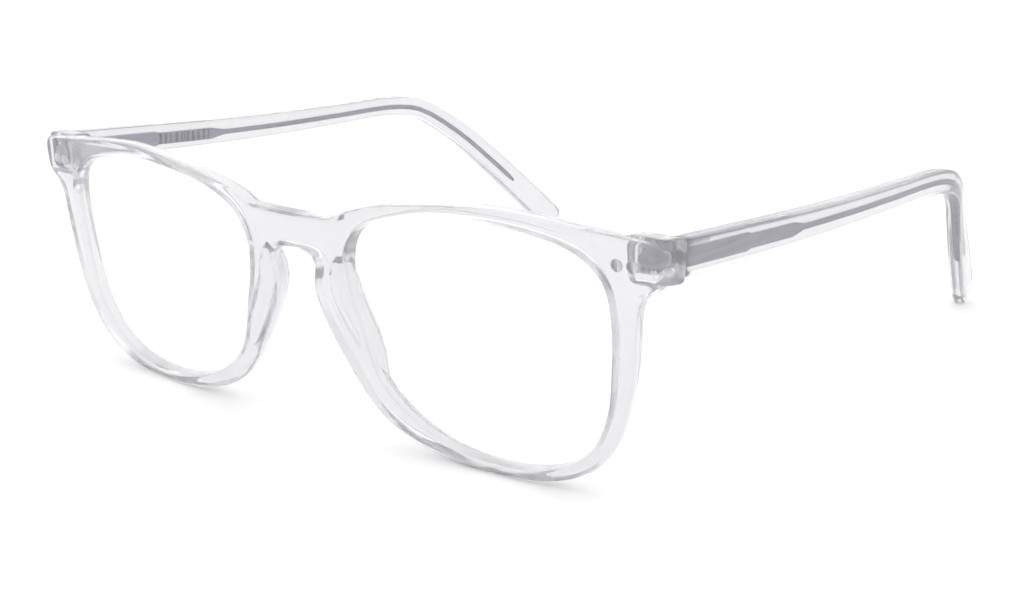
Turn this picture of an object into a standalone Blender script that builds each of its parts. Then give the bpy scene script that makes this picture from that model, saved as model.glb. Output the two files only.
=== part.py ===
"""Clear acetate eyeglasses: a one-piece front with a keyhole bridge and integral nose pads, two lenses,
and two folding temples with an embedded metal core wire, each on a three-knuckle hinge that is sunk
into the endpiece.

Everything is drawn in the front's own frame, in millimetres: x to the wearer's left, y backwards,
z up the front's plane, z = 0 level with the middle of the lenses. The assembly empty then leans that
frame by TILT, so that the two rims and the two temple tips stand on the floor at world z = 0.
"""
import math

import bmesh
import bpy
from mathutils import Matrix, Quaternion, Vector, geometry

MM = 0.001
SIDES = ((1, "left"), (-1, "right"))

# Front
CURVE_RADIUS = 476.0      # the front and lenses follow a cylinder of this radius
FRONT_THICKNESS = 3.6
EDGE_ROUND = 0.65         # rounding of the front's polished edges
BACK_TAPER = 1.5          # how much smaller the rim's outline is at its back face than at its front face
TAPER_ENDS = (63.0, 67.0)  # the taper fades out over this stretch, towards the endpieces
LENS_THICKNESS = 1.9
LENS_BEVEL = 0.75         # height of the V edge that sits in the rim's groove
GAP = 0.2                 # clearance kept between neighbouring pieces

# Stance on the floor
TILT = math.radians(5.87) # lean of the front, from the temples' drop
FLOOR = -23.53            # the floor's height in the leaned frame, before it becomes world z = 0
MIDDLE_Y = 69.61          # middle of the glasses, front to back, in the leaned frame

# Hinge
HINGE_X, HINGE_Y, HINGE_Z = 64.5, 10.95, 14.1
HINGE_LEAN = math.radians(10.5)  # the temple's downward slope where it meets the front
JOINT_Y = 10.7                   # back face of the endpiece, where the temple butts
KNUCKLE_RADIUS, SCREW_RADIUS, KNUCKLE_HEIGHT = 1.25, 0.6, 1.4
ENDPIECE_X = (59.0, 66.0)  # over this stretch the front's thickness turns to the temples' slope
# Boxes in the hinge's own frame, as (low corner, high corner)
BLOCK = (-2.3, -5.3, -3.7), (5.5, JOINT_Y - HINGE_Y, 3.2)   # the endpiece's thick block
BLOCK_FLARE = 1.3                                           # how much narrower it is at the front
POCKET = (-1.6, -2.55, -2.15), (4.2, 3, 2.15)              # its pocket for the front leaf
SCREW_ACCESS = (-1.3, -1.3, 0), (1.3, 3, 4)                # opens the pocket above the screw
LEAF_PLATE = (-1.4, -2.35, -1.95), (4, -1.5, 1.95)
PIN_X, PIN_RADIUS, PIN_DEPTH = (62.0, 64.5), 1.0, 2.4      # round pins let into the front's face

# Half outlines, x >= 0, as (x, z)
OUTER = [(0, 13.9), (5, 14), (8.7, 14.4), (12, 15.9), (19, 17.7), (26, 18.8), (34, 19.6), (42, 19.9),
         (50, 19.4), (58, 18.6), (64, 18.1), (66.8, 17.9), (68, 17.3), (68.5, 16), (68.6, 13.8),
         (68.4, 11.9), (67.6, 10.8), (66.6, 10.1), (65.6, 9), (65, 7), (64.6, 3), (64, -3),
         (62.6, -9.6), (60, -15.8), (55, -20.7), (47.9, -23.4), (40, -24), (32, -23.8),
         (23.7, -22.2), (17, -19), (12.5, -14.7), (9.5, -10.4), (7.3, -7.1), (5.6, -3.9), (4.4, -1),
         (3.8, 1.4), (3.8, 3.2), (4.2, 4.9), (4.4, 6), (3.8, 7), (2.3, 7.7), (0, 7.9)]
APERTURE = [(60.3, 4.5), (59.2, 10.8), (55, 14.7), (47, 16.8), (38, 17.5), (28, 17), (19.5, 15.4),
            (14, 12.7), (11.4, 8.5), (11.2, 3.5), (13, -3.5), (15.2, -11), (19, -15.8), (25.5, -19.8),
            (34, -22.1), (43, -22.2), (50.5, -20.2), (55.8, -16.2), (58.8, -10), (59.9, -3)]

# Nose pad stations from top to bottom: nasal x, middle y, z, half width, half depth
PAD = [(7.4, 2.9, 7.4, 0.6, 0.8), (6.4, 3.2, 5.9, 1.6, 1.4), (5.8, 3.5, 3.6, 2.4, 1.9),
       (5.8, 3.6, 0.8, 2.6, 2.1), (6.9, 3.7, -2.2, 2.7, 2.1), (8.7, 3.7, -5.4, 2.5, 2.1),
       (10.9, 3.6, -8.8, 2.0, 1.8), (13.2, 3.3, -12, 1.2, 1.2), (14.9, 2.9, -14, 0.5, 0.6)]

# Temple centre line: x, y, z, thickness, height
TEMPLE = [(67.75, JOINT_Y + GAP, 14.1, 3.4, 5.9), (67.35, 27, 11.25, 3.4, 5.8), (66.95, 44, 8.3, 3.3, 5.5),
          (66.55, 62, 5.5, 3.2, 5.2), (66.2, 80, 3.05, 3.0, 4.8), (65.85, 95, 1.05, 2.9, 4.5),
          (65.2, 103.5, -1.3, 2.9, 4.5), (63.9, 108.9, -4.9, 2.9, 4.8), (61.7, 114.4, -10.1, 2.9, 5.1),
          (59.3, 120.4, -17, 2.8, 5.5), (56.9, 127, -24.9, 2.8, 5.9), (55.2, 131.6, -30.6, 2.7, 6.1),
          (54.1, 134.6, -34.4, 2.7, 6.1), (53.7, 135.6, -35.7, 2.5, 5.8), (53.5, 136.2, -36.4, 1.6, 4.7)]
TWIST, TWIST_ENDS = math.radians(14), (98.0, 128.0)  # how far the drop's section turns, and over which y
WIRE_THICKNESS = 1.1
# Grooves across the outer face of the wire's ribbed stretch
GROOVES, GROOVES_START, GROOVE_PITCH, GROOVE_SHARE, GROOVE_DEPTH = 9, 30.6, 1.35, 0.55, 0.25
RIBBED_HEIGHT = 2.3
# Core wire heights along the temple, as (y, height)
WIRE_HEIGHT = [(11.3, 2.9), (29, 2.9), (29.9, RIBBED_HEIGHT), (43, RIBBED_HEIGHT), (46.5, 1.0),
               (124.9, 1.0), (126, 0.6)]


def clear_scene():
    for obj in list(bpy.data.objects):
        bpy.data.objects.remove(obj, do_unlink=True)


def material(name, color, roughness, metallic=0.0, transmission=0.0, alpha=1.0):
    mat = bpy.data.materials.new(name)
    mat.use_nodes = True
    shader = mat.node_tree.nodes["Principled BSDF"]
    shader.inputs["Base Color"].default_value = (*color, 1.0)
    shader.inputs["Roughness"].default_value = roughness
    shader.inputs["Metallic"].default_value = metallic
    shader.inputs["Transmission Weight"].default_value = transmission
    shader.inputs["Alpha"].default_value = alpha
    return mat


def smooth(points, steps, closed=True):
    """A smooth curve through the points, with each handle a third of the way to its neighbour."""
    pts = [Vector(p) for p in points]
    count = len(pts)
    tangents = []
    for i in range(count):
        before = pts[i - 1] if closed or i else pts[0]
        after = pts[(i + 1) % count] if closed or i < count - 1 else pts[-1]
        tangents.append((after - before).normalized())
    line = []
    for i in range(count if closed else count - 1):
        a, b = pts[i], pts[(i + 1) % count]
        reach = (b - a).length / 3
        line += geometry.interpolate_bezier(a, a + tangents[i] * reach, b - tangents[(i + 1) % count] * reach,
                                            b, steps + 1)[:-1]
    return line if closed else line + [pts[-1]]


def add(name, mesh, mat, parent):
    obj = bpy.data.objects.new(name, mesh)
    mesh.name = name
    bpy.context.scene.collection.objects.link(obj)
    obj.parent = parent
    if mat:
        mesh.materials.append(mat)
    else:
        obj.hide_render = True
        obj.display_type = 'WIRE'
    return obj


def tapered(x, z, share, outlines):
    """Moves a point that belongs to the first outline inwards, by its share of the front's thickness."""
    nearest = [min((math.dist((x, z), p[:2]), i) for i, p in enumerate(line)) for line in outlines]
    if nearest[0][0] > min(nearest[1:])[0]:
        return x, z
    outline, k = outlines[0], nearest[0][1]
    along = Vector(outline[(k + 1) % len(outline)]) - Vector(outline[k - 1])
    inward = Vector((along[1], -along[0])).normalized()
    fade = min(max((TAPER_ENDS[1] - abs(x)) / (TAPER_ENDS[1] - TAPER_ENDS[0]), 0), 1)
    move = inward * BACK_TAPER * share * fade * abs(inward.x)
    return x + move.x, z + move.y


def plate_mesh(outlines, thickness, bevel, grow, rounds, y, taper=False):
    """A flat plate of the outlines, in the xz plane, with bevelled edges, bent onto the front's curve.

    Near the endpieces its thickness runs down along the temples' slope."""
    curve = bpy.data.curves.new("outline", 'CURVE')
    curve.dimensions = '2D'
    curve.fill_mode = 'BOTH'
    curve.extrude = thickness / 2 - bevel
    curve.bevel_depth = bevel
    curve.bevel_resolution = rounds
    curve.offset = grow - bevel
    for outline in outlines:
        spline = curve.splines.new('POLY')
        spline.points.add(len(outline) - 1)
        for point, (x, z) in zip(spline.points, outline):
            point.co = (x, z, 0, 1)
        spline.use_cyclic_u = True
    obj = bpy.data.objects.new("outline", curve)
    bpy.context.scene.collection.objects.link(obj)
    bpy.context.view_layer.update()
    mesh = bpy.data.meshes.new_from_object(obj.evaluated_get(bpy.context.evaluated_depsgraph_get()))
    bpy.data.objects.remove(obj)
    bm = bmesh.new()
    bm.from_mesh(mesh)
    bmesh.ops.remove_doubles(bm, verts=bm.verts, dist=0.002)
    for vert in bm.verts:
        x, z, depth = vert.co
        if taper:
            x, z = tapered(x, z, (y - depth) / thickness, outlines)
        share = min(max((abs(x) - ENDPIECE_X[0]) / (ENDPIECE_X[1] - ENDPIECE_X[0]), 0), 1)
        drop = share * (y - depth) * math.tan(HINGE_LEAN)
        vert.co = Vector((x, x * x / (2 * CURVE_RADIUS) + y - depth, z - drop)) * MM
    bmesh.ops.recalc_face_normals(bm, faces=bm.faces)
    bm.to_mesh(mesh)
    bm.free()
    return mesh


def rounded_section(width, height, corner=0.42, per_corner=3):
    """Points round a rounded rectangle, as (across, up)."""
    radius = corner * min(width, height)
    ring = []
    for turn in range(4):
        cx = (width / 2 - radius) * (1, -1, -1, 1)[turn]
        cz = (height / 2 - radius) * (1, 1, -1, -1)[turn]
        for step in range(per_corner + 1):
            angle = math.radians(90 * turn + 90 * step / per_corner)
            ring.append((cx + radius * math.cos(angle), cz + radius * math.sin(angle)))
    return ring


def loft(rings):
    """A closed solid through rings of equal length, with flat end caps."""
    bm = bmesh.new()
    rows = [[bm.verts.new(Vector(p) * MM) for p in ring] for ring in rings]
    for low, high in zip(rows, rows[1:]):
        for i in range(len(low)):
            j = (i + 1) % len(low)
            bm.faces.new((low[i], low[j], high[j], high[i]))
    bm.faces.new(reversed(rows[0]))
    bm.faces.new(rows[-1])
    bmesh.ops.recalc_face_normals(bm, faces=bm.faces)
    mesh = bpy.data.meshes.new("loft")
    bm.to_mesh(mesh)
    bm.free()
    return mesh


def box(low, high, bevel=0.0, segments=2):
    bm = bmesh.new()
    bmesh.ops.create_cube(bm, size=1)
    for vert in bm.verts:
        vert.co = Vector([(lo if c < 0 else hi) for c, lo, hi in zip(vert.co, low, high)]) * MM
    if bevel:
        bmesh.ops.bevel(bm, geom=bm.edges, offset=bevel * MM, segments=segments, affect='EDGES', profile=0.5)
    mesh = bpy.data.meshes.new("box")
    bm.to_mesh(mesh)
    bm.free()
    return mesh


def lathe(profile, segments=24):
    """A closed solid of revolution about local z from (radius, z) points that start and end on the axis."""
    bm = bmesh.new()
    rows = []
    for radius, z in profile:
        if radius == 0:
            rows.append([bm.verts.new((0, 0, z * MM))])
        else:
            rows.append([bm.verts.new((radius * MM * math.cos(a), radius * MM * math.sin(a), z * MM))
                         for a in (2 * math.pi * i / segments for i in range(segments))])
    for low, high in zip(rows, rows[1:]):
        for i in range(segments):
            j = (i + 1) % segments
            quad = [low[i % len(low)], low[j % len(low)], high[j % len(high)], high[i % len(high)]]
            bm.faces.new(list(dict.fromkeys(quad)))
    bmesh.ops.recalc_face_normals(bm, faces=bm.faces)
    mesh = bpy.data.meshes.new("lathe")
    bm.to_mesh(mesh)
    bm.free()
    return mesh


def boolean(obj, other, operation='DIFFERENCE'):
    mod = obj.modifiers.new(operation.title() + " " + other.name, 'BOOLEAN')
    mod.operation = operation
    mod.object = other


def mirrored(mesh, side):
    """The mesh itself for the left side (+1), or its mirror image for the right side (-1)."""
    if side < 0:
        mesh.transform(Matrix.Scale(-1, 4, (1, 0, 0)))
        mesh.flip_normals()
    return mesh


def frames(path, steps):
    """(centre, outward, up, thickness, height) along the temple's centre line."""
    line = smooth([p[:3] for p in path], steps, closed=False)
    sizes = [Vector((p[3], p[4], 0)) for p in path]
    out = []
    for i, centre in enumerate(line):
        ahead = line[min(i + 1, len(line) - 1)] - line[max(i - 1, 0)]
        along = ahead.normalized()
        share = min(max((centre.y - TWIST_ENDS[0]) / (TWIST_ENDS[1] - TWIST_ENDS[0]), 0), 1)
        outward = Quaternion(along, TWIST * share) @ along.cross(Vector((0, 0, 1))).normalized()
        up = outward.cross(along)
        k, f = divmod(i, steps)
        size = sizes[k].lerp(sizes[min(k + 1, len(sizes) - 1)], f / steps)
        out.append((centre, outward, up, size.x, size.y))
    return out


def at_y(line, y):
    """Centre, outward and up on the temple's line at this y."""
    for a, b in zip(line, line[1:]):
        if a[0].y <= y <= b[0].y:
            f = (y - a[0].y) / (b[0].y - a[0].y)
            return a[0].lerp(b[0], f), a[1].lerp(b[1], f).normalized(), a[2].lerp(b[2], f).normalized()
    return line[0][:3] if y < line[0][0].y else line[-1][:3]


def ring_on(centre, outward, up, section, shift=0.0):
    return [centre + outward * (a + shift) + up * b for a, b in section]


def wire_rings(line, grow=0.0):
    """Rings of the core wire: a plate, a ribbed stretch, then a thin wire. A grown copy cuts its channel."""
    stations = []
    for (y0, h0), (y1, h1) in zip(WIRE_HEIGHT, WIRE_HEIGHT[1:]):
        count = max(1, round((y1 - y0) / 3.0))
        stations += [(y0 + (y1 - y0) * i / count, h0 + (h1 - h0) * i / count) for i in range(count)]
    stations.append(WIRE_HEIGHT[-1])
    if grow:
        stations[0] = (JOINT_Y - 1.5, stations[0][1])
        stations.append((stations[-1][0] + 0.6, stations[-1][1]))
    else:
        stations += [(GROOVES_START + k * GROOVE_PITCH / 4, RIBBED_HEIGHT) for k in range(4 * GROOVES)]
        stations.sort()
    rings = []
    for y, height in stations:
        centre, outward, up = at_y(line, y)
        if y < line[0][0].y:
            centre = centre + Vector((0, 1, -math.tan(HINGE_LEAN))) * (y - centre.y)
        thick = min(WIRE_THICKNESS, height)
        pitches = (y - GROOVES_START) / GROOVE_PITCH
        in_groove = 0 <= pitches < GROOVES and pitches % 1 < GROOVE_SHARE
        inset = GROOVE_DEPTH if in_groove and not grow else 0
        section = rounded_section(thick - inset + 2 * grow, height + 2 * grow, 0.3, 2)
        rings.append(ring_on(centre, outward, up, section, inset / 2))
    return rings


def knuckles(slots):
    """Knuckles stacked along the hinge axis in the given slots, 0 at the bottom, in the hinge's frame."""
    bm = bmesh.new()
    for slot in slots:
        middle = (slot - 1) * KNUCKLE_HEIGHT
        bmesh.ops.create_cone(bm, cap_ends=True, segments=24, radius1=KNUCKLE_RADIUS * MM,
                              radius2=KNUCKLE_RADIUS * MM, depth=(KNUCKLE_HEIGHT - GAP) * MM,
                              matrix=Matrix.Translation((0, 0, middle * MM)))
    mesh = bpy.data.meshes.new("knuckles")
    bm.to_mesh(mesh)
    bm.free()
    return mesh


def slot_box(slot, x, y):
    """A block from x[0] to x[1] and y[0] to y[1] as tall as one knuckle."""
    low = (slot - 1.5) * KNUCKLE_HEIGHT + GAP / 2 + 0.05
    return box((x[0], y[0], low), (x[1], y[1], low + KNUCKLE_HEIGHT - GAP - 0.1))


def empty(name, parent, location=(0, 0, 0), rotation=(0, 0, 0)):
    obj = bpy.data.objects.new(name, None)
    bpy.context.scene.collection.objects.link(obj)
    obj.parent = parent
    obj.location = Vector(location) * MM
    obj.rotation_euler = rotation
    return obj


def build_front(assembly, pivots, acetate, clear, metal):
    """The front, its lenses and face pins. Pads and endpieces are added before anything is cut."""
    outer = smooth(OUTER + [(-x, z) for x, z in reversed(OUTER[1:-1])], 3)
    hole = smooth(APERTURE, 4)
    middle = FRONT_THICKNESS / 2
    front = add("front_frame", plate_mesh([outer, hole, [(-x, z) for x, z in hole]], FRONT_THICKNESS,
                                          EDGE_ROUND, 0, 2, middle, True), acetate, assembly)
    for side, label in SIDES:
        rings = [[(x + wide + wide * math.cos(math.radians(a)), y + deep * math.sin(math.radians(a)), z)
                  for a in range(0, 360, 30)] for x, y, z, wide, deep in PAD]
        boolean(front, add("pad_" + label, mirrored(loft(rings), side), None, assembly), 'UNION')
        block = box(*BLOCK, 0.8)
        (x0, y0, _), (x1, y1, _) = BLOCK
        for vert in block.vertices:
            x, y = vert.co.x / MM, vert.co.y / MM
            vert.co.x -= BLOCK_FLARE * MM * (y1 - y) / (y1 - y0) * (x - x0) / (x1 - x0)
        boolean(front, add("endpiece_" + label, mirrored(block, side), None, pivots[side]), 'UNION')
    for side, label in SIDES:
        groove = plate_mesh([hole], LENS_THICKNESS + 2 * GAP, LENS_BEVEL + GAP, LENS_BEVEL + GAP, 0, middle)
        boolean(front, add("groove_" + label, mirrored(groove, side), None, assembly))
        lens = plate_mesh([hole], LENS_THICKNESS, LENS_BEVEL, LENS_BEVEL, 0, middle)
        add("lens_" + label, mirrored(lens, side), clear, assembly)
        for name, corners in (("pocket_", POCKET), ("screw_access_", SCREW_ACCESS)):
            boolean(front, add(name + label, mirrored(box(*corners), side), None, pivots[side]))
        for place, x in zip(("inner", "outer"), PIN_X):
            face = x * x / (2 * CURVE_RADIUS)
            end, hole_radius, hole_end = face + PIN_DEPTH, PIN_RADIUS + GAP / 2, face + PIN_DEPTH + GAP
            for name, profile, mat in (
                    ("pin_hole_", [(0, 0), (hole_radius, 0), (hole_radius, hole_end), (0, hole_end)], None),
                    ("front_pin_", [(0, face), (PIN_RADIUS - 0.15, face), (PIN_RADIUS, face + 0.2),
                                    (PIN_RADIUS, end), (0, end)], metal)):
                pin = add(f"{name}{place}_{label}", lathe(profile), mat, assembly)
                pin.location = Vector((side * x, 0, HINGE_Z)) * MM
                pin.rotation_euler = (-math.pi / 2, 0, 0)
                if not mat:
                    boolean(front, pin)
    floor = add("floor_cut", box((-100, -100, -80), (100, 200, FLOOR)), None, assembly)
    floor.rotation_euler = (-TILT, 0, 0)
    boolean(front, floor)


def build_hinge(side, label, pivot, metal, screw_metal):
    """The front leaf with two knuckles, the temple leaf with one, and their screw."""
    leaf = add("front_hinge_leaf_" + label, mirrored(box(*LEAF_PLATE, 0.3), side), metal, pivot)
    leaf_parts = [("knuckles_", knuckles((0, 2)))]
    leaf_parts += [(f"arm{slot}_", slot_box(slot, (-0.6, 0.6), (-1.9, 0))) for slot in (0, 2)]
    tongue = add("temple_hinge_leaf_" + label, mirrored(box((1.2, 0.5, -1.3), (2.2, 8.5, 1.3), 0.2), side),
                 metal, pivot)
    tongue_parts = [("knuckle_", knuckles((1,))), ("arm1_", slot_box(1, (0, 1.8), (0.2, 1.25)))]
    bore = add("screw_bore_" + label, lathe([(0, -4), (SCREW_RADIUS + GAP / 2, -4),
                                             (SCREW_RADIUS + GAP / 2, 4), (0, 4)]), None, pivot)
    for obj, parts in ((leaf, leaf_parts), (tongue, tongue_parts)):
        for name, mesh in parts:
            boolean(obj, add(name + label, mirrored(mesh, side), None, pivot), 'UNION')
        boolean(obj, bore)
    top = 1.5 * KNUCKLE_HEIGHT
    screw = add("hinge_screw_" + label, lathe([(0, -top), (SCREW_RADIUS, -top), (SCREW_RADIUS, top + 0.1),
                (1.05, top + 0.1), (1.05, top + 0.5), (0.85, top + 0.7), (0, top + 0.7)]), screw_metal, pivot)
    slot = add("screw_slot_" + label, box((-2, -0.15, top + 0.35), (2, 0.15, top + 1)), None, pivot)
    boolean(screw, slot)


def build_temple(side, label, assembly, pivot, acetate, metal):
    """One temple with its channel, leaf seat and floor flat, and the core wire inside it."""
    bpy.context.view_layer.update()
    to_pivot = (Matrix.Translation(pivot.location) @ pivot.rotation_euler.to_matrix().to_4x4()).inverted()
    line = frames(TEMPLE, 3)

    def on_pivot(rings):
        mesh = mirrored(loft(rings), side)
        mesh.transform(to_pivot)
        return mesh

    temple = add("temple_" + label, on_pivot([ring_on(c, o, u, rounded_section(t, h))
                                              for c, o, u, t, h in line]), acetate, pivot)
    boolean(temple, add("channel_" + label, on_pivot(wire_rings(line, GAP)), None, pivot))
    seat = box((0.6, -2, -1.5), (2.4, 8.7, 1.5))
    boolean(temple, add("tongue_seat_" + label, mirrored(seat, side), None, pivot))
    boolean(temple, bpy.data.objects["floor_cut"])
    add("core_wire_" + label, on_pivot(wire_rings(line)), metal, pivot)


def build():
    clear_scene()
    acetate = material("clear_acetate", (0.93, 0.93, 0.95), 0.08, transmission=0.9, alpha=0.35)
    clear = material("lens_clear", (0.97, 0.98, 0.99), 0.03, transmission=0.95, alpha=0.2)
    steel = material("core_steel", (0.55, 0.54, 0.60), 0.3, metallic=1.0)
    screw_steel = material("screw_steel", (0.62, 0.61, 0.64), 0.25, metallic=1.0)

    assembly = empty("assembly", None, (0, -MIDDLE_Y, -FLOOR), (TILT, 0, 0))
    pivots = {side: empty("hinge_" + label, assembly, (side * HINGE_X, HINGE_Y, HINGE_Z), (-HINGE_LEAN, 0, 0))
              for side, label in SIDES}
    build_front(assembly, pivots, acetate, clear, steel)
    for side, label in SIDES:
        build_hinge(side, label, pivots[side], steel, screw_steel)
        build_temple(side, label, assembly, pivots[side], acetate, steel)


build()
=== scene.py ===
"""Looks of the clear acetate eyeglasses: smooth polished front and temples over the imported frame,
satin metal inside them, thin clear lenses, a white floor and soft light.

Shapes are drawn in the front's own frame, in millimetres, as in the CAD: x to the wearer's left, y backwards,
z up the front's plane. stand() then leans them by TILT, so that they stand on the floor at z = 0, in metres.
"""
import math

import bmesh
import bpy
from mathutils import Matrix, Quaternion, Vector, geometry


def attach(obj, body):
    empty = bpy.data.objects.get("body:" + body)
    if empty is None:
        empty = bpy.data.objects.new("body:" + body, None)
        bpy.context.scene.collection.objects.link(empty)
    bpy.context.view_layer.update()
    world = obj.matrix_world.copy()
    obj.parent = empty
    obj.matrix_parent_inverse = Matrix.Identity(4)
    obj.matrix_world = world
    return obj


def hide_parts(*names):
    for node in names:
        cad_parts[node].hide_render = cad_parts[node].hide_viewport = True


MM = 0.001
SIDES = ((1, "left"), (-1, "right"))

# Front
CURVE_RADIUS = 476.0       # the front and lenses follow a cylinder of this radius
FRONT_THICKNESS = 3.6
EDGE_ROUND = 0.8           # rounding of the front's edges before the polish
BACK_TAPER = 1.5           # how much smaller the rim's outline is at its back face
TAPER_ENDS = (63.0, 67.0)  # the taper fades out over this stretch, towards the endpieces
LENS_THICKNESS, LENS_SEAT = 1.9, 0.4   # the lens's edge reaches this far into the rim
VOXEL = 0.22               # size of the front's remesh
POLISH = 8                 # smoothing passes of its edges
CREASE = math.radians(40)  # edges of the other pieces sharper than this stay sharp

# Stance
TILT = math.radians(5.87)  # lean of the front, from the temples' drop
FLOOR = -23.53             # the floor's height in the leaned frame
MIDDLE_Y = 69.61           # middle of the glasses, front to back, in the leaned frame

# Hinge
HINGE_X, HINGE_Y, HINGE_Z = 64.5, 10.95, 14.1
HINGE_LEAN = math.radians(10.5)   # the temple's downward slope where it meets the front
JOINT_Y = 10.7                    # back face of the endpiece, where the temple butts
ENDPIECE_X = (59.0, 66.0)         # over this stretch the front's thickness turns to the temples' slope
# Boxes in the hinge's own frame, as (low corner, high corner)
BLOCK = (-2.3, -5.3, -3.7), (5.5, JOINT_Y - HINGE_Y, 3.2)   # the endpiece's thick block
BLOCK_FLARE = 1.3                                           # how much narrower it is at the front
POCKET = (-1.5, -1.4, -2.2), (1.9, 3, 2.9)                  # its pocket for the knuckles and the screw
PLATE_X, PLATE_Y, PLATE_HALF_HEIGHT = (-1.1, 2.7), (-2.2, -1.6), 1.3
KNUCKLE_RADIUS, KNUCKLE_HEIGHT, KNUCKLE_GAP = 1.25, 1.4, 0.2
ARM_HALF = 0.6, 0.55  # half width and half height of a knuckle's arm
PIN_X, PIN_RADIUS, PIN_DEPTH = (62.0, 64.5), 1.0, 0.3

# Half outlines, x >= 0, as (x, z)
OUTER = [(0, 13.9), (5, 14), (8.7, 14.4), (12, 15.9), (19, 17.7), (26, 18.8), (34, 19.6), (42, 19.9),
         (50, 19.4), (58, 18.6), (64, 18.1), (66.8, 17.9), (68, 17.3), (68.5, 16), (68.6, 13.8),
         (68.4, 11.9), (67.6, 10.8), (66.6, 10.1), (65.6, 9), (65, 7), (64.6, 3), (64, -3),
         (62.6, -9.6), (60, -15.8), (55, -20.7), (47.9, -23.4), (40, -24), (32, -23.8),
         (23.7, -22.2), (17, -19), (12.5, -14.7), (9.5, -10.4), (7.3, -7.1), (5.6, -3.9), (4.4, -1),
         (3.8, 1.4), (3.8, 3.2), (4.2, 4.9), (4.4, 6), (3.8, 7), (2.3, 7.7), (0, 7.9)]
APERTURE = [(60.3, 4.5), (59.2, 10.8), (55, 14.7), (47, 16.8), (38, 17.5), (28, 17), (19.5, 15.4),
            (14, 12.7), (11.4, 8.5), (11.2, 3.5), (13, -3.5), (15.2, -11), (19, -15.8), (25.5, -19.8),
            (34, -22.1), (43, -22.2), (50.5, -20.2), (55.8, -16.2), (58.8, -10), (59.9, -3)]

# Nose pad stations from top to bottom: nasal x, middle y, z, half width, half depth
PAD = [(7.4, 2.9, 7.4, 0.6, 0.8), (6.4, 3.2, 5.9, 1.6, 1.4), (5.8, 3.5, 3.6, 2.4, 1.9),
       (5.8, 3.6, 0.8, 2.6, 2.1), (6.9, 3.7, -2.2, 2.7, 2.1), (8.7, 3.7, -5.4, 2.5, 2.1),
       (10.9, 3.6, -8.8, 2.0, 1.8), (13.2, 3.3, -12, 1.2, 1.2), (14.9, 2.9, -14, 0.5, 0.6)]

# Temple centre line: x, y, z, thickness, height
TEMPLE = [(67.75, JOINT_Y + 0.2, 14.1, 3.4, 5.9), (67.35, 27, 11.25, 3.4, 5.8), (66.95, 44, 8.3, 3.3, 5.5),
          (66.55, 62, 5.5, 3.2, 5.2), (66.2, 80, 3.05, 3.0, 4.8), (65.85, 95, 1.05, 2.9, 4.5),
          (65.2, 103.5, -1.3, 2.9, 4.5), (63.9, 108.9, -4.9, 2.9, 4.8), (61.7, 114.4, -10.1, 2.9, 5.1),
          (59.3, 120.4, -17, 2.8, 5.5), (56.9, 127, -24.9, 2.8, 5.9), (55.2, 131.6, -30.6, 2.7, 6.1),
          (54.1, 134.6, -34.4, 2.7, 6.1), (53.7, 135.6, -35.7, 2.5, 5.8), (53.5, 136.2, -36.4, 1.6, 4.7)]
TWIST, TWIST_ENDS = math.radians(14), (98.0, 128.0)  # how far the drop's section turns, and over which y
TEMPLE_CORNER = 0.3        # corner radius as a share of the section's smaller side
STEPS = 8                  # rings between two stations

# Camera
CAMERA_AT = (0.2031, -0.2663, 0.1038)
CAMERA_FORWARD = (-0.6017, 0.7492, -0.2767)
CAMERA_ROLL = math.radians(-0.43)
CAMERA_LENS = 62.6

# Light: name, place, width, height and power of each soft lamp
LAMPS = [("overhead_light", (0, 0, 0.9), 0.6, 0.6, 0.6),
         ("back_light", (-0.6, 0.8, 0.34), 1.1, 0.45, 0.9)]
WORLD_STRENGTH = 1.18
WORLD_SHADES = ((0.0, 0.78), (0.45, 1.0))   # the surround's brightness at these heights, 0 at the horizon
FLOOR_CLEARANCE = 0.00012   # keeps the floor's face off the flats that rest on it


def smooth(points, steps, closed=True):
    """A smooth curve through the points, with each handle a third of the way to its neighbour."""
    pts = [Vector(p) for p in points]
    count = len(pts)
    tangents = []
    for i in range(count):
        before = pts[i - 1] if closed or i else pts[0]
        after = pts[(i + 1) % count] if closed or i < count - 1 else pts[-1]
        tangents.append((after - before).normalized())
    line = []
    for i in range(count if closed else count - 1):
        a, b = pts[i], pts[(i + 1) % count]
        reach = (b - a).length / 3
        line += geometry.interpolate_bezier(a, a + tangents[i] * reach, b - tangents[(i + 1) % count] * reach,
                                            b, steps + 1)[:-1]
    return line if closed else line + [pts[-1]]


def bend(x):
    """How far back the front's curve has gone at x."""
    return x * x / (2 * CURVE_RADIUS)


def new_object(name, mesh):
    obj = bpy.data.objects.new(name, mesh)
    mesh.name = name
    bpy.context.scene.collection.objects.link(obj)
    return obj


def from_bmesh(name, bm):
    bmesh.ops.recalc_face_normals(bm, faces=bm.faces)
    mesh = bpy.data.meshes.new(name)
    bm.to_mesh(mesh)
    bm.free()
    return new_object(name, mesh)


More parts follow.
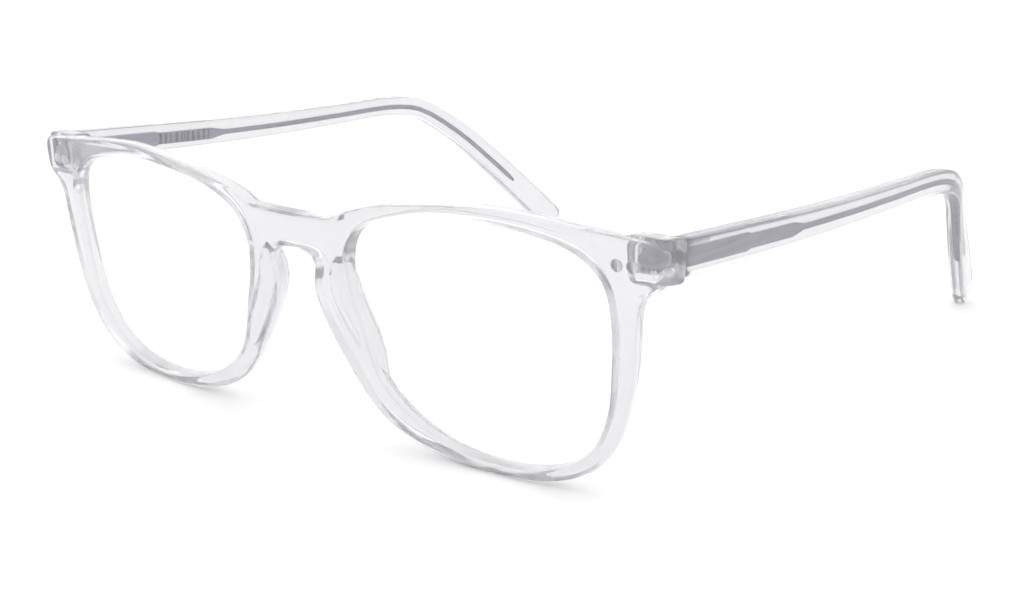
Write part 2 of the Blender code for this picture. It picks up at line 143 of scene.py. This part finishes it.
def plate(name, outlines, thickness, bevel, grow=0.0, rounds=3):
    """A flat plate of the outlines in the xz plane, its front face at y = 0, with rounded edges."""
    curve = bpy.data.curves.new(name, 'CURVE')
    curve.dimensions = '2D'
    curve.fill_mode = 'BOTH'
    curve.extrude = thickness / 2 - bevel
    curve.bevel_depth = bevel
    curve.bevel_resolution = rounds
    curve.offset = grow - bevel
    for outline in outlines:
        spline = curve.splines.new('POLY')
        spline.points.add(len(outline) - 1)
        for point, (x, z) in zip(spline.points, outline):
            point.co = (x, z, 0, 1)
        spline.use_cyclic_u = True
    obj = bpy.data.objects.new(name, curve)
    bpy.context.scene.collection.objects.link(obj)
    bpy.context.view_layer.update()
    mesh = bpy.data.meshes.new_from_object(obj.evaluated_get(bpy.context.evaluated_depsgraph_get()))
    bpy.data.objects.remove(obj)
    bm = bmesh.new()
    bm.from_mesh(mesh)
    bmesh.ops.remove_doubles(bm, verts=bm.verts, dist=0.002)
    for vert in bm.verts:
        x, z, depth = vert.co
        vert.co = Vector((x, thickness / 2 - depth, z))
    return bm


def taper(bm, outlines):
    """Leans the rim's outer walls inwards towards the back, and slopes the endpieces' walls."""
    outer = outlines[0]
    for vert in bm.verts:
        x, y, z = vert.co
        share = y / FRONT_THICKNESS
        nearest = [min((math.dist((x, z), p[:2]), i) for i, p in enumerate(line)) for line in outlines]
        if nearest[0][0] <= min(nearest[1:])[0]:
            k = nearest[0][1]
            along = Vector(outer[(k + 1) % len(outer)]) - Vector(outer[k - 1])
            inward = Vector((along[1], -along[0])).normalized()
            fade = min(max((TAPER_ENDS[1] - abs(x)) / (TAPER_ENDS[1] - TAPER_ENDS[0]), 0), 1)
            move = inward * BACK_TAPER * share * fade * abs(inward.x)
            vert.co.x += move.x
            vert.co.z += move.y
        slope = min(max((abs(x) - ENDPIECE_X[0]) / (ENDPIECE_X[1] - ENDPIECE_X[0]), 0), 1)
        vert.co.z -= slope * y * math.tan(HINGE_LEAN)


def add_loft(bm, rings):
    """Adds a closed solid through rings of equal length, with flat end caps."""
    rows = [[bm.verts.new(Vector(p)) for p in ring] for ring in rings]
    for low, high in zip(rows, rows[1:]):
        for i in range(len(low)):
            j = (i + 1) % len(low)
            bm.faces.new((low[i], low[j], high[j], high[i]))
    bm.faces.new(reversed(rows[0]))
    bm.faces.new(rows[-1])


def add_box(bm, low, high, bevel=0.0):
    """Adds a box with rounded edges and returns its vertices."""
    verts = bmesh.ops.create_cube(bm, size=1)["verts"]
    for vert in verts:
        vert.co = [(lo if c < 0 else hi) for c, lo, hi in zip(vert.co, low, high)]
    if not bevel:
        return verts
    edges = list(dict.fromkeys(edge for vert in verts for edge in vert.link_edges))
    made = bmesh.ops.bevel(bm, geom=edges, offset=bevel, segments=4, affect='EDGES', profile=0.5)
    return list({vert for face in made["faces"] for vert in face.verts})


def hinge_frame(side):
    """From the hinge's own frame, with z along its screw, to the front's frame, on this side."""
    return (Matrix.Scale(side, 4, (1, 0, 0)) @ Matrix.Translation((HINGE_X, HINGE_Y, HINGE_Z))
            @ Matrix.Rotation(-HINGE_LEAN, 4, 'X'))


def stand(obj):
    """Leans the finished shape onto the floor and turns millimetres into metres."""
    obj.data.transform(Matrix.Translation((0, -MIDDLE_Y * MM, -FLOOR * MM))
                       @ Matrix.Rotation(TILT, 4, 'X') @ Matrix.Scale(MM, 4))
    for vert in obj.data.vertices:
        vert.co.z = max(vert.co.z, 0)
    for poly in obj.data.polygons:
        poly.use_smooth = True


def apply(obj, kind, **settings):
    """Adds a modifier with these settings and applies it."""
    mod = obj.modifiers.new(kind.title(), kind)
    for key, value in settings.items():
        setattr(mod, key, value)
    mesh = bpy.data.meshes.new_from_object(obj.evaluated_get(bpy.context.evaluated_depsgraph_get()))
    obj.modifiers.clear()
    obj.data = mesh


def build_front():
    """Front, pads and endpieces as one polished body: joined, remeshed, smoothed, then bent."""
    outer = smooth(OUTER + [(-x, z) for x, z in reversed(OUTER[1:-1])], 8)
    hole = smooth(APERTURE, 10)
    outlines = [outer, hole, [(-x, z) for x, z in hole]]
    bm = plate("front", outlines, FRONT_THICKNESS, EDGE_ROUND)
    taper(bm, outlines)
    for side, _ in SIDES:
        add_loft(bm, [[(side * (x + wide + wide * math.cos(math.radians(a))),
                        y + deep * math.sin(math.radians(a)) - bend(x + wide), z) for a in range(0, 360, 10)]
                      for x, y, z, wide, deep in PAD])
        block = add_box(bm, *BLOCK, 0.8)
        (x0, y0, _), (x1, y1, _) = BLOCK
        for vert in block:
            x, y, _ = vert.co
            vert.co.x -= BLOCK_FLARE * (y1 - y) / (y1 - y0) * (x - x0) / (x1 - x0)
            vert.co = hinge_frame(side) @ vert.co
            vert.co.y -= bend(vert.co.x)
    front = from_bmesh("front_body", bm)
    apply(front, 'REMESH', mode='VOXEL', voxel_size=VOXEL, adaptivity=0.0)
    apply(front, 'SMOOTH', factor=0.5, iterations=POLISH)
    for vert in front.data.vertices:
        vert.co.y += bend(vert.co.x)
    for side, _ in SIDES:
        bm = bmesh.new()
        add_box(bm, *POCKET)
        bm.transform(hinge_frame(side))
        cutter = from_bmesh("pocket", bm)
        apply(front, 'BOOLEAN', object=cutter, operation='DIFFERENCE', solver='EXACT')
        bpy.data.objects.remove(cutter)
    return front


def build_lens(side, label):
    hole = smooth(APERTURE, 10)
    bm = plate("lens", [hole], LENS_THICKNESS, 0.15, LENS_SEAT, 1)
    cuts = [(axis, step) for axis, low, high in (((1, 0, 0), 12, 60), ((0, 0, 1), -22, 18))
            for step in range(low, high, 2)]
    for axis, step in cuts:
        bmesh.ops.bisect_plane(bm, geom=bm.verts[:] + bm.edges[:] + bm.faces[:], dist=1e-4,
                               plane_co=Vector(axis) * step, plane_no=axis)
    for vert in bm.verts:
        x, y, z = vert.co
        vert.co = (side * x, y + bend(x) + (FRONT_THICKNESS - LENS_THICKNESS) / 2, z)
    return from_bmesh("lens_clear_" + label, bm)


def rounded_section(width, height, corner, per_corner=6):
    """Points round a rounded rectangle, as (across, up)."""
    radius = corner * min(width, height)
    ring = []
    for turn in range(4):
        cx = (width / 2 - radius) * (1, -1, -1, 1)[turn]
        cz = (height / 2 - radius) * (1, 1, -1, -1)[turn]
        for step in range(per_corner + 1):
            angle = math.radians(90 * turn + 90 * step / per_corner)
            ring.append((cx + radius * math.cos(angle), cz + radius * math.sin(angle)))
    return ring


def build_temple(side, label):
    line = smooth([p[:3] for p in TEMPLE], STEPS, closed=False)
    rings = []
    for i, centre in enumerate(line):
        along = (line[min(i + 1, len(line) - 1)] - line[max(i - 1, 0)]).normalized()
        share = min(max((centre.y - TWIST_ENDS[0]) / (TWIST_ENDS[1] - TWIST_ENDS[0]), 0), 1)
        outward = Quaternion(along, TWIST * share) @ along.cross(Vector((0, 0, 1))).normalized()
        up = outward.cross(along)
        k, f = divmod(i, STEPS)
        low, high = TEMPLE[k], TEMPLE[min(k + 1, len(TEMPLE) - 1)]
        width, height = (low[n] + (high[n] - low[n]) * f / STEPS for n in (3, 4))
        if i == 0:
            for inset, back in ((0.35, 0), (0.1, 0.1), (0, 0.35)):
                rings.append([centre + along * back + outward * a + up * b for a, b in
                              rounded_section(width - 2 * inset, height - 2 * inset, TEMPLE_CORNER)])
            continue
        section = rounded_section(width, height, TEMPLE_CORNER)
        rings.append([centre + outward * a + up * b for a, b in section])
    bm = bmesh.new()
    add_loft(bm, [[(side * p.x, p.y, p.z) for p in ring] for ring in rings])
    return from_bmesh("temple_body_" + label, bm)


def add_rounded_cylinder(bm, radius, depth, rounding, z=0):
    """Adds an upright cylinder whose two rims are rounded."""
    verts = bmesh.ops.create_cone(bm, cap_ends=True, segments=48, radius1=radius, radius2=radius, depth=depth,
                                  matrix=Matrix.Translation((0, 0, z)))["verts"]
    edges = dict.fromkeys(edge for vert in verts for edge in vert.link_edges)
    rims = [edge for edge in edges if abs(edge.verts[0].co.z - edge.verts[1].co.z) < 0.01]
    bmesh.ops.bevel(bm, geom=rims, offset=rounding, segments=2, affect='EDGES', profile=0.5)


def build_hinge_plate(side, label):
    """The front half of the hinge: a shield-shaped plate set into the endpiece, with two knuckles."""
    middle = sum(PLATE_X) / 2
    half = (PLATE_X[1] - PLATE_X[0]) / 2
    outline = []
    for a in (2 * math.pi * i / 64 for i in range(64)):
        height = math.copysign(abs(math.sin(a)) ** 0.8, math.sin(a))
        outline.append((middle + half * math.cos(a), PLATE_HALF_HEIGHT * height))
    bm = plate("hinge_plate", [outline], PLATE_Y[1] - PLATE_Y[0], 0.2)
    bmesh.ops.translate(bm, verts=bm.verts, vec=(0, PLATE_Y[0], 0))
    for slot in (0, 2):
        height = (slot - 1) * KNUCKLE_HEIGHT
        add_rounded_cylinder(bm, KNUCKLE_RADIUS, KNUCKLE_HEIGHT - KNUCKLE_GAP, 0.12, height)
        add_box(bm, (-ARM_HALF[0], PLATE_Y[1] - 0.4, height - ARM_HALF[1]),
                (ARM_HALF[0], 0, height + ARM_HALF[1]), 0.1)
    bm.transform(hinge_frame(side))
    return from_bmesh("hinge_plate_" + label, bm)


def build_pin(side, x, name):
    """A short metal pin let into the front's face, its polished end level with it."""
    bm = bmesh.new()
    add_rounded_cylinder(bm, PIN_RADIUS, PIN_DEPTH, 0.1)
    bm.transform(Matrix.Translation((side * x, bend(x) + PIN_DEPTH / 2 + 0.02, HINGE_Z))
                 @ Matrix.Rotation(math.pi / 2, 4, 'X'))
    return from_bmesh(name, bm)


def principled(name, color, **values):
    mat = bpy.data.materials.new(name)
    mat.use_nodes = True
    shader = mat.node_tree.nodes["Principled BSDF"]
    shader.inputs["Base Color"].default_value = (*color, 1.0)
    for key, value in values.items():
        shader.inputs[key.replace("_", " ")].default_value = value
    return mat, mat.node_tree, shader


def noise_bump(tree, shader, scale, strength, distance, stretch=(1, 1, 1)):
    """A fine unevenness of the surface, at this many features per metre."""
    coords = tree.nodes.new("ShaderNodeTexCoord")
    place = tree.nodes.new("ShaderNodeMapping")
    place.inputs["Scale"].default_value = stretch
    noise = tree.nodes.new("ShaderNodeTexNoise")
    noise.inputs["Scale"].default_value = scale
    noise.inputs["Detail"].default_value = 2.0
    bump = tree.nodes.new("ShaderNodeBump")
    bump.inputs["Strength"].default_value = strength
    bump.inputs["Distance"].default_value = distance
    tree.links.new(coords.outputs["Object"], place.inputs["Vector"])
    tree.links.new(place.outputs["Vector"], noise.inputs["Vector"])
    tree.links.new(noise.outputs["Fac"], bump.inputs["Height"])
    tree.links.new(bump.outputs["Normal"], shader.inputs["Normal"])
    return noise


def ramp(tree, noise, socket, stops):
    mix = tree.nodes.new("ShaderNodeValToRGB")
    for element, (at, color) in zip(mix.color_ramp.elements, stops):
        element.position = at
        element.color = (*color, 1.0)
    tree.links.new(noise.outputs["Fac"], mix.inputs["Fac"])
    tree.links.new(mix.outputs["Color"], socket)


def acetate_material():
    """Crystal acetate: clear, with a faint lavender cast and the slight waviness of a tumbled surface."""
    mat, tree, shader = principled("clear_acetate", (0.85, 0.85, 0.86), Roughness=0.12, IOR=1.46,
                                   Transmission_Weight=0.85)
    noise = noise_bump(tree, shader, 160, 0.02, 0.0004)
    ramp(tree, noise, shader.inputs["Base Color"], ((0.35, (0.835, 0.835, 0.85)), (0.65, (0.86, 0.86, 0.87))))
    absorb = tree.nodes.new("ShaderNodeVolumeAbsorption")
    absorb.inputs["Color"].default_value = (0.62, 0.61, 0.72, 1.0)
    absorb.inputs["Density"].default_value = 26.0
    tree.links.new(absorb.outputs["Volume"], tree.nodes["Material Output"].inputs["Volume"])
    return mat


def lens_material():
    """A thin clear lens: it mirrors a little, more so at a slant, and lets the rest straight through."""
    mat, tree, shader = principled("lens_clear", (1, 1, 1), Roughness=0.02, Metallic=1.0)
    noise_bump(tree, shader, 60, 0.02, 0.0002)
    slant = tree.nodes.new("ShaderNodeLayerWeight")
    power = tree.nodes.new("ShaderNodeMath")
    power.operation = 'POWER'
    power.inputs[1].default_value = 4.0
    mirror = tree.nodes.new("ShaderNodeMath")
    mirror.operation = 'MULTIPLY_ADD'
    mirror.inputs[1].default_value, mirror.inputs[2].default_value = 0.8, 0.03
    tree.links.new(slant.outputs["Facing"], power.inputs[0])
    tree.links.new(power.outputs["Value"], mirror.inputs[0])
    tree.links.new(mirror.outputs["Value"], shader.inputs["Alpha"])
    return mat


def metal_material(name, dark, light, roughness, stretch):
    """Satin metal with fine drawn marks along it."""
    mat, tree, shader = principled(name, light, Metallic=1.0, Roughness=roughness)
    noise = noise_bump(tree, shader, 900, 0.25, 0.00005, stretch)
    ramp(tree, noise, shader.inputs["Base Color"], ((0.35, dark), (0.65, light)))
    return mat


def set_material(obj, mat):
    obj.data.materials.clear()
    obj.data.materials.append(mat)


def build_stage():
    """A large white floor, a pale surround and soft lamps."""
    bm = bmesh.new()
    bmesh.ops.create_grid(bm, x_segments=1, y_segments=1, size=3.0)
    floor = from_bmesh("floor", bm)
    floor.location.z = -FLOOR_CLEARANCE
    mat, _, shader = principled("floor_white", (0.93, 0.93, 0.93), Roughness=0.6)
    shader.inputs["Specular IOR Level"].default_value = 0.1
    set_material(floor, mat)

    world = bpy.data.worlds.new("surround")
    bpy.context.scene.world = world
    world.use_nodes = True
    tree = world.node_tree
    coords = tree.nodes.new("ShaderNodeTexCoord")
    split = tree.nodes.new("ShaderNodeSeparateXYZ")
    shade = tree.nodes.new("ShaderNodeValToRGB")
    for element, (at, value) in zip(shade.color_ramp.elements, WORLD_SHADES):
        element.position = at
        element.color = (value, value, value, 1)
    tree.links.new(coords.outputs["Generated"], split.inputs["Vector"])
    tree.links.new(split.outputs["Z"], shade.inputs["Fac"])
    tree.links.new(shade.outputs["Color"], tree.nodes["Background"].inputs["Color"])
    tree.nodes["Background"].inputs["Strength"].default_value = WORLD_STRENGTH

    for name, spot, width, height, power in LAMPS:
        lamp = bpy.data.lights.new(name, 'AREA')
        lamp.shape = 'RECTANGLE'
        lamp.size, lamp.size_y, lamp.energy = width, height, power
        obj = bpy.data.objects.new(name, lamp)
        obj.location = spot
        obj.rotation_euler = (-Vector(spot)).to_track_quat('-Z', 'Y').to_euler()
        bpy.context.scene.collection.objects.link(obj)


def build_camera():
    data = bpy.data.cameras.new("camera")
    data.lens = CAMERA_LENS
    data.sensor_width = 36
    data.clip_start, data.clip_end = 0.01, 20
    camera = bpy.data.objects.new("camera", data)
    camera.location = CAMERA_AT
    look = Vector(CAMERA_FORWARD).to_track_quat('-Z', 'Y') @ Quaternion((0, 0, 1), CAMERA_ROLL)
    camera.rotation_euler = look.to_euler()
    bpy.context.scene.collection.objects.link(camera)
    bpy.context.scene.camera = camera


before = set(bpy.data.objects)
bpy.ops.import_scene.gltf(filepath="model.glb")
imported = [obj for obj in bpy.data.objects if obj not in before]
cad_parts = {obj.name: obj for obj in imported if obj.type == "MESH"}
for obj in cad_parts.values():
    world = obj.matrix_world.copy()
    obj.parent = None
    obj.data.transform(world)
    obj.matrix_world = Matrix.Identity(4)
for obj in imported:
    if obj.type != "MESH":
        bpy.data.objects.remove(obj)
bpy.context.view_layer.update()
build_camera()
build_stage()

acetate, clear = acetate_material(), lens_material()
core = metal_material("core_metal", (0.33, 0.32, 0.38), (0.40, 0.39, 0.45), 0.35, (1, 0.05, 1))
hinge_metal = metal_material("hinge_metal", (0.42, 0.41, 0.45), (0.52, 0.51, 0.55), 0.35, (1, 1, 1))
screw_metal = metal_material("screw_metal", (0.50, 0.49, 0.52), (0.62, 0.61, 0.64), 0.22, (1, 1, 1))

front_body = build_front()
stand(front_body)
set_material(front_body, acetate)
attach(front_body, "front")
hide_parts("front_frame")

for side, label in SIDES:
    lens = build_lens(side, label)
    stand(lens)
    lens.data.set_sharp_from_angle(angle=CREASE)
    set_material(lens, clear)
    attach(lens, "front")
    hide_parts("lens_" + label)

    temple = build_temple(side, label)
    stand(temple)
    temple.data.set_sharp_from_angle(angle=CREASE)
    set_material(temple, acetate)
    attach(temple, "temple_" + label)
    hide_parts("temple_" + label)

    hinge_pieces = [(build_hinge_plate(side, label), "front_hinge_leaf_" + label)]
    for x, place in zip(PIN_X, ("inner", "outer")):
        hinge_pieces.append((build_pin(side, x, f"pin_{place}_{label}"), f"front_pin_{place}_{label}"))
    for piece, node in hinge_pieces:
        stand(piece)
        piece.data.set_sharp_from_angle(angle=CREASE)
        set_material(piece, screw_metal if "pin" in node else hinge_metal)
        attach(piece, "front")
        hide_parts(node)
    set_material(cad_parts["temple_hinge_leaf_" + label], hinge_metal)
    set_material(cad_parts["core_wire_" + label], core)
    set_material(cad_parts["hinge_screw_" + label], screw_metal)

bpy.context.scene.view_settings.view_transform = 'Standard'
bpy.context.scene.cycles.max_bounces = 24
bpy.context.scene.cycles.transmission_bounces = 24
